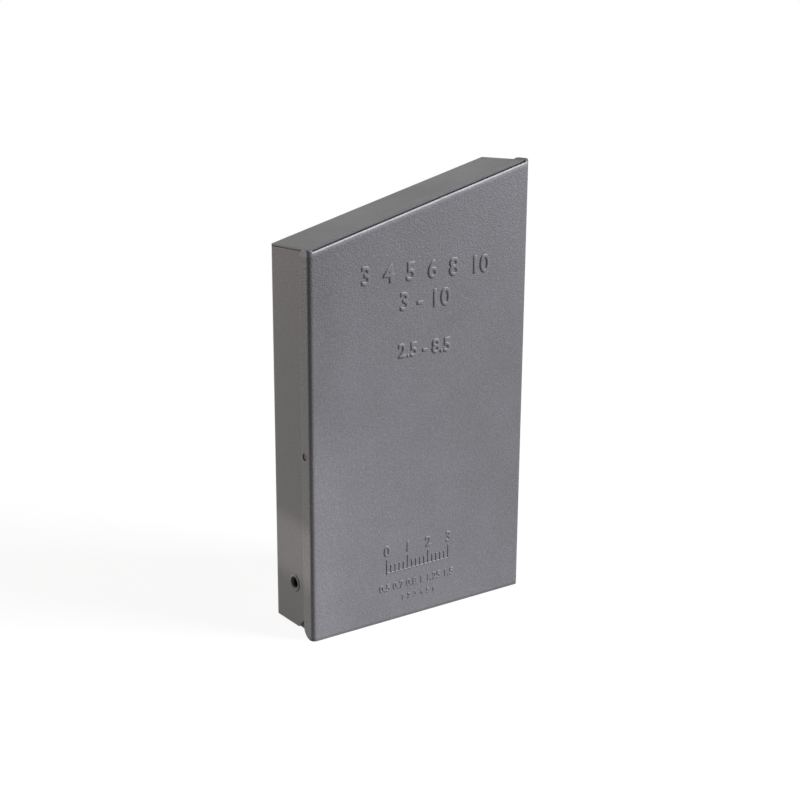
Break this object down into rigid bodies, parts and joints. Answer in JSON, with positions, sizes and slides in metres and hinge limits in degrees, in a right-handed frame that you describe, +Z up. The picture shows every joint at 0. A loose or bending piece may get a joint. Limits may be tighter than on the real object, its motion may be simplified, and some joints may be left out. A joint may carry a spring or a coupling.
{
  "type": "drill bit index",
  "caption": "Closed sheet-steel index box with a slanted top: the cover swings open on hollow rivets and draws out two leaves with racks for taps and their drills.",
  "frame": {"origin": "on the bench under the middle of the closed index", "axes": "-Y is the front with the cover, +X the viewer's right, where the index is tallest, +Z up"},
  "size_m": [0.1016, 0.0294, 0.1768],
  "materials": {
    "hammertone_paint": "satin grey paint with a fine hammered grain",
    "leaf_paint": "the same grey paint on the leaves inside",
    "zinc": "dull zinc-plated steel"
  },
  "bodies": {
    "case": {"case_shell": "hammertone_paint", "left_pivot_rivet": "zinc", "right_pivot_rivet": "zinc", "left_outer_washer": "zinc", "right_outer_washer": "zinc", "left_middle_washer": "zinc", "right_middle_washer": "zinc", "left_retaining_washer": "zinc", "right_retaining_washer": "zinc"},
    "cover_leaf": {"cover": "hammertone_paint", "front_leaf_frame": "leaf_paint", "front_upper_rack": "leaf_paint", "front_lower_rack": "leaf_paint", "front_floor": "leaf_paint", "left_drive_pin": "zinc", "right_drive_pin": "zinc"},
    "rear_leaf": {"rear_leaf_frame": "leaf_paint", "rear_upper_rack": "leaf_paint", "rear_lower_rack": "leaf_paint", "rear_floor": "leaf_paint"}
  },
  "joints": [
    {"name": "cover_hinge", "type": "hinge", "parent": "case", "child": "cover_leaf", "pos_m": [0, 0.0003, 0.0188], "axis": [1, 0, 0], "range_deg": [0, 45]},
    {"name": "rear_leaf_hinge", "type": "hinge", "parent": "case", "child": "rear_leaf", "pos_m": [0, 0.0003, 0.0188], "axis": [1, 0, 0], "range_deg": [0, 22.5]}
  ],
  "couplings": [
    {"joint": "rear_leaf_hinge", "follows": "cover_hinge", "ratio": 0.5}
  ]
}
